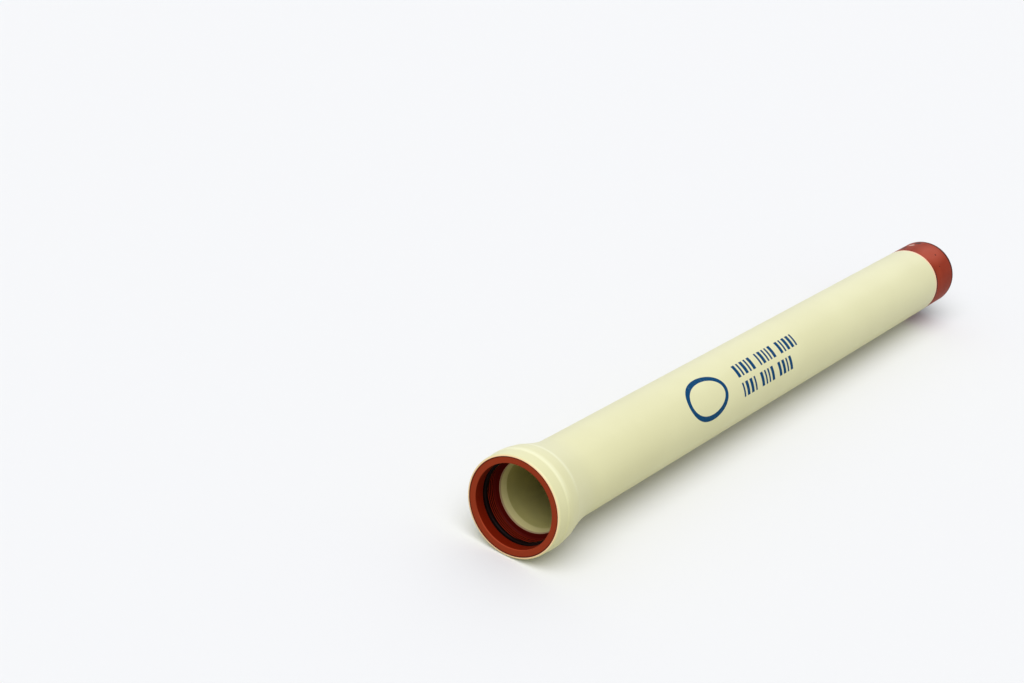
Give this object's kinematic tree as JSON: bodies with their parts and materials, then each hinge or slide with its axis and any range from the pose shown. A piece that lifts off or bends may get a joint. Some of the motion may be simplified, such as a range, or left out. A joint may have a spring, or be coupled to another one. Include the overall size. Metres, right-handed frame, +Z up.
{
  "type": "ductile iron pipe",
  "caption": "Straight round pressure pipe with a push-on socket and rubber gasket at one end and a plain spigot at the other, coated outside and lined inside.",
  "frame": {"origin": "on the floor under the middle of the pipe, at the bottom centre of its bounding box", "axes": "+Y along the pipe from the socket to the spigot, +Z up, +X to the right seen from the socket"},
  "size_m": [0.214, 2.001, 0.2138],
  "materials": {
    "epoxy_coated_iron": "ductile iron under a thin red-brown epoxy paint, semi-gloss",
    "cream_coat": "smooth sprayed cream polyurethane coat, 1 mm, semi-gloss",
    "cream_lining": "smooth mortar lining under a cream seal coat",
    "black_rubber": "black moulded rubber, slightly shiny"
  },
  "bodies": {
    "root": {"pipe_casting": "epoxy_coated_iron", "outer_coating": "cream_coat", "inner_lining": "cream_lining", "gasket": "black_rubber"}
  },
  "joints": []
}
